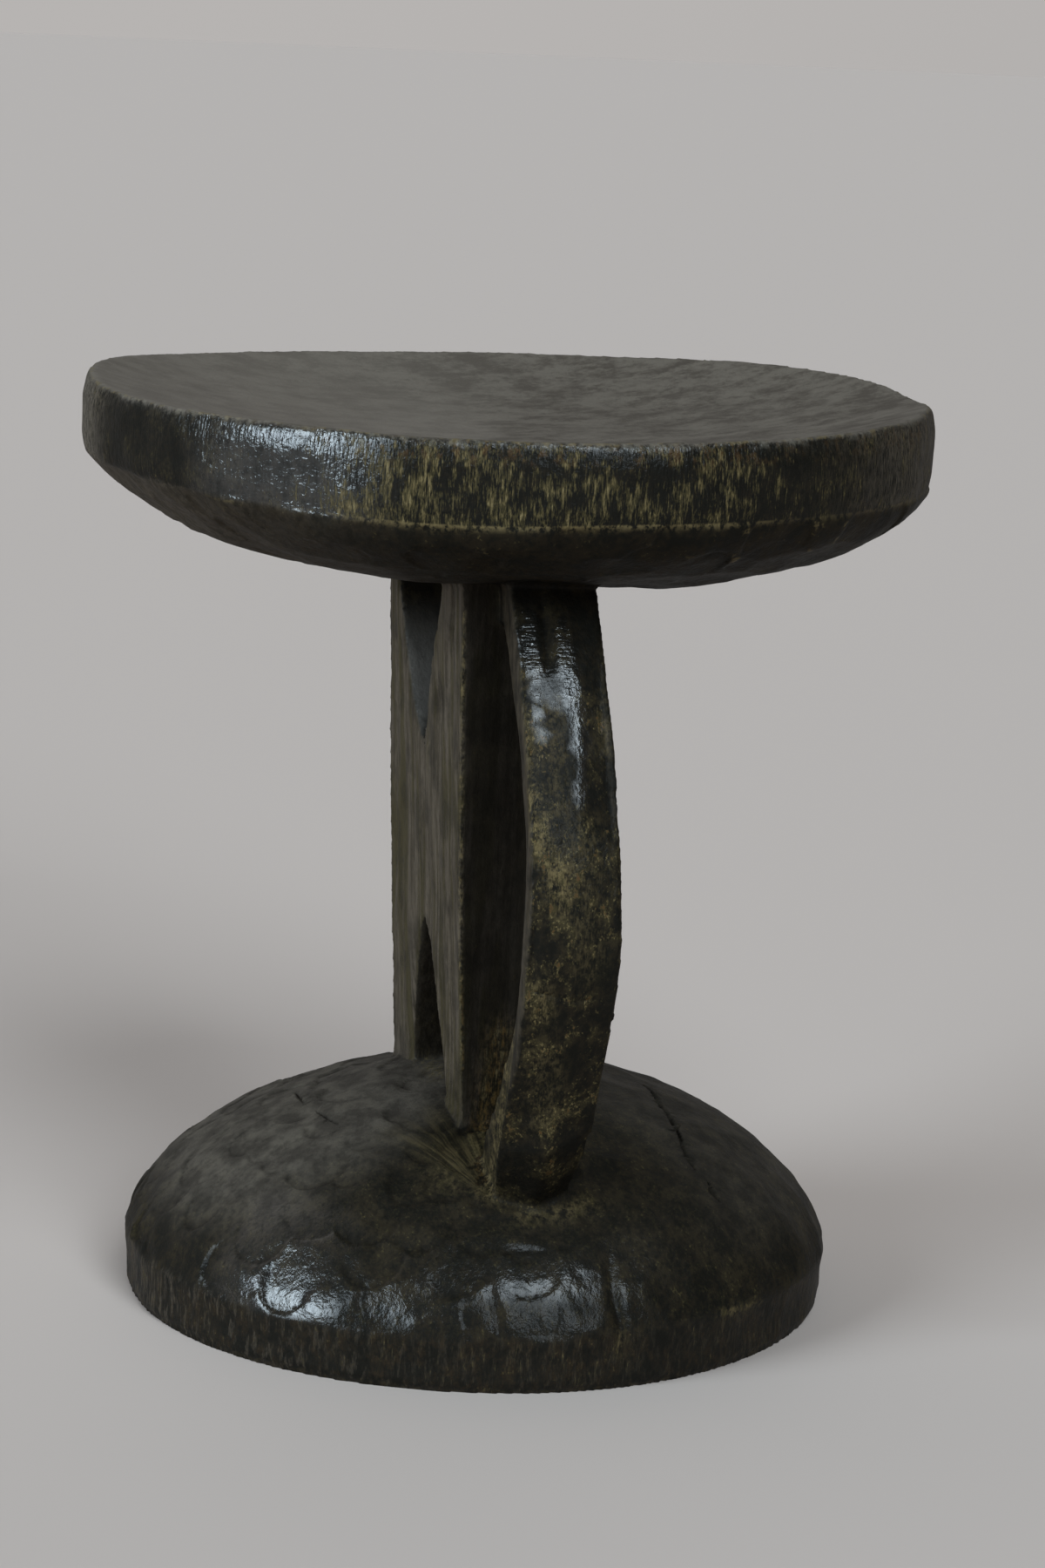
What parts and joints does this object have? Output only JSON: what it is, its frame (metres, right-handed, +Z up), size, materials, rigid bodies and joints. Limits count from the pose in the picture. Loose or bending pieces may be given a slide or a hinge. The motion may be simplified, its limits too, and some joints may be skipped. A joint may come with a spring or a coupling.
{
  "type": "tonga stool",
  "caption": "Carved wooden stool from one block: dished round seat, flat leg pierced by two pointed notches with a bowed bar beside it, and a domed round foot.",
  "frame": {"origin": "centre of the round underside, on the floor", "axes": "+Z up, +X along the flat of the leg towards the bowed bar, +Y across the leg"},
  "size_m": [0.3057, 0.3047, 0.3366],
  "materials": {
    "wood": "dark oiled patina, worn tan on the edges, satin to glossy"
  },
  "bodies": {
    "root": {"stool": "wood"}
  },
  "joints": []
}
